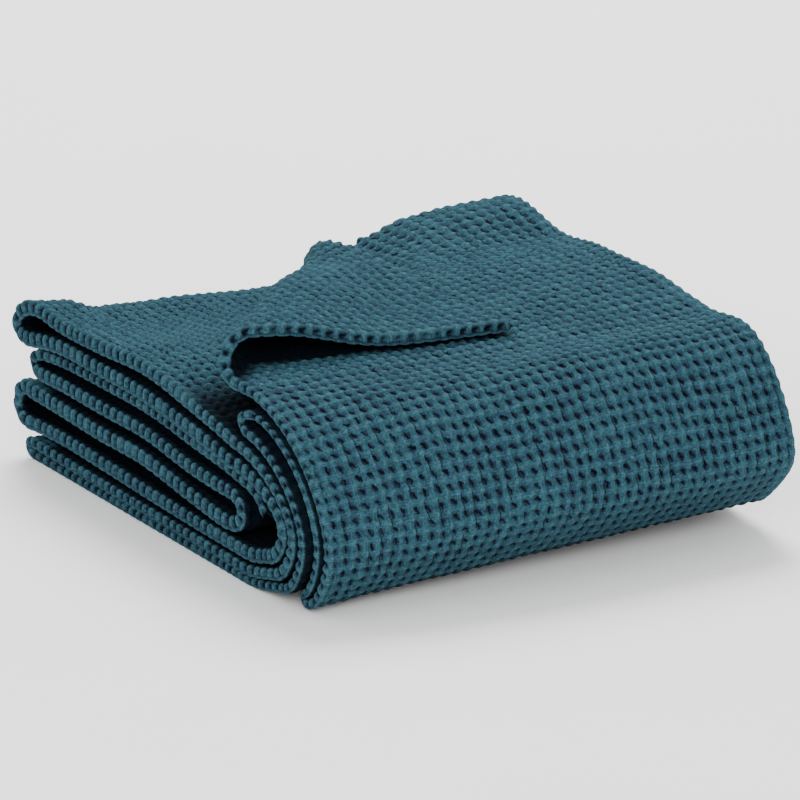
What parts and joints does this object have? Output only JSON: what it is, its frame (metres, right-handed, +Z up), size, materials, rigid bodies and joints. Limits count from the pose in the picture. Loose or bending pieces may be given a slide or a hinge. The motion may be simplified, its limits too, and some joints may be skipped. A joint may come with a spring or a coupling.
{
  "type": "folded blanket",
  "caption": "Waffle weave cotton blanket folded back and forth into a stack, with the near left corner of its top layer turned back.",
  "frame": {"origin": "on the surface the blanket rests on, under the middle of its bounding box", "axes": "+X across the layers towards the right wraps, +Y from the near edge to the far one, +Z up"},
  "size_m": [0.4248, 0.363, 0.1613],
  "materials": {
    "cloth": "matt woven cloth"
  },
  "bodies": {
    "root": {"blanket": "cloth"}
  },
  "joints": []
}
